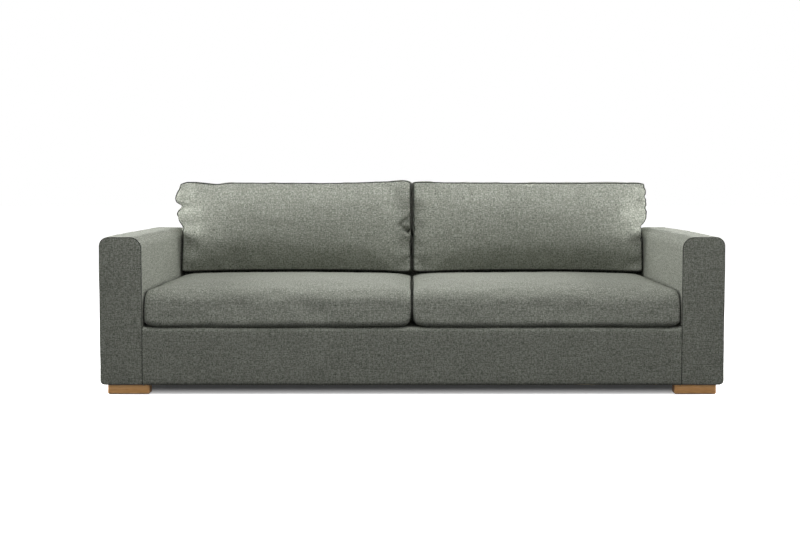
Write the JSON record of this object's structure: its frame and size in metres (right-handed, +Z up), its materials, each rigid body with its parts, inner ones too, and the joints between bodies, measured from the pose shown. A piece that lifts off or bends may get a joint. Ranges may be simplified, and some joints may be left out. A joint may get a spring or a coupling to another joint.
{
  "type": "sofa",
  "caption": "Upholstered sofa with rounded padded arms, loose boxed seat and back cushions with zipped covers, and low oak block feet.",
  "frame": {"origin": "on the floor, below the middle of the sofa's box", "axes": "+X to the right of someone facing the sofa, +Y from front to back, +Z up"},
  "size_m": [2.4, 0.94, 0.825],
  "materials": {
    "upholstery": "woven linen-look upholstery, heathered grey-green",
    "oak": "oiled oak",
    "pine": "planed softwood",
    "plywood": "birch plywood",
    "hardboard": "brown hardboard",
    "foam": "cut polyurethane foam with fibre wrap",
    "felt": "needle felt",
    "lining": "black non-woven cloth",
    "webbing": "elastic webbing",
    "zip_tape": "nylon zip",
    "spring_steel": "oiled spring wire",
    "zinc": "zinc plated"
  },
  "bodies": {
    "frame": {"arm_bolt_washers": "zinc", "arm_bolts": "zinc", "arm_cover_left": "upholstery", "arm_cover_right": "upholstery", "arm_end_boards_left": "plywood", "arm_end_boards_right": "plywood", "arm_fixing_boards": "plywood", "arm_foam_left": "foam", "arm_foam_right": "foam", "arm_inner_panel_left": "plywood", "arm_inner_panel_right": "plywood", "arm_outer_panel_left": "hardboard", "arm_outer_panel_right": "hardboard", "arm_rails_left": "pine", "arm_rails_right": "pine", "arm_struts": "pine", "arm_tee_nuts": "zinc", "back_board": "hardboard", "back_foam": "foam", "back_top_rail": "pine", "back_uprights": "pine", "back_webbing": "webbing", "base_corner_blocks": "pine", "base_cross_rails": "pine", "base_front_rail": "pine", "base_rear_rail": "pine", "base_side_rails": "pine", "deck_cover": "upholstery", "deck_pad": "felt", "dust_cover": "lining", "foot_felt_pads": "felt", "foot_front_left": "oak", "foot_front_right": "oak", "foot_rear_left": "oak", "foot_rear_right": "oak", "foot_screws": "zinc", "front_border_cover": "upholstery", "front_border_foam": "foam", "inside_back_cover": "upholstery", "outside_back_cover": "upholstery", "seat_springs": "spring_steel", "spring_clips": "zinc", "spring_tie_wires": "spring_steel"},
    "seat_cushion_left": {"seat_cushion_left_cover": "upholstery", "seat_cushion_left_core": "foam", "seat_cushion_left_zip": "zip_tape"},
    "seat_cushion_left_slider": {"seat_cushion_left_zip_slider": "zinc"},
    "back_cushion_left": {"back_cushion_left_cover": "upholstery", "back_cushion_left_core": "foam", "back_cushion_left_zip": "zip_tape"},
    "back_cushion_left_slider": {"back_cushion_left_zip_slider": "zinc"},
    "seat_cushion_right": {"seat_cushion_right_cover": "upholstery", "seat_cushion_right_core": "foam", "seat_cushion_right_zip": "zip_tape"},
    "seat_cushion_right_slider": {"seat_cushion_right_zip_slider": "zinc"},
    "back_cushion_right": {"back_cushion_right_cover": "upholstery", "back_cushion_right_core": "foam", "back_cushion_right_zip": "zip_tape"},
    "back_cushion_right_slider": {"back_cushion_right_zip_slider": "zinc"}
  },
  "joints": [
    {"name": "seat_cushion_left_pull", "type": "slide", "parent": "frame", "child": "seat_cushion_left", "axis": [0, -1, 0], "range_m": [0, 0.9]},
    {"name": "back_cushion_left_lift", "type": "slide", "parent": "frame", "child": "back_cushion_left", "axis": [0, 0, 1], "range_m": [0, 0.42]},
    {"name": "seat_cushion_left_zip_slide", "type": "slide", "parent": "seat_cushion_left", "child": "seat_cushion_left_slider", "axis": [-1, 0, 0], "range_m": [0, 0.836]},
    {"name": "back_cushion_left_zip_slide", "type": "slide", "parent": "back_cushion_left", "child": "back_cushion_left_slider", "axis": [-1, 0, 0], "range_m": [0, 0.829]},
    {"name": "seat_cushion_right_pull", "type": "slide", "parent": "frame", "child": "seat_cushion_right", "axis": [0, -1, 0], "range_m": [0, 0.9]},
    {"name": "back_cushion_right_lift", "type": "slide", "parent": "frame", "child": "back_cushion_right", "axis": [0, 0, 1], "range_m": [0, 0.42]},
    {"name": "seat_cushion_right_zip_slide", "type": "slide", "parent": "seat_cushion_right", "child": "seat_cushion_right_slider", "axis": [-1, 0, 0], "range_m": [0, 0.836]},
    {"name": "back_cushion_right_zip_slide", "type": "slide", "parent": "back_cushion_right", "child": "back_cushion_right_slider", "axis": [-1, 0, 0], "range_m": [0, 0.829]}
  ]
}
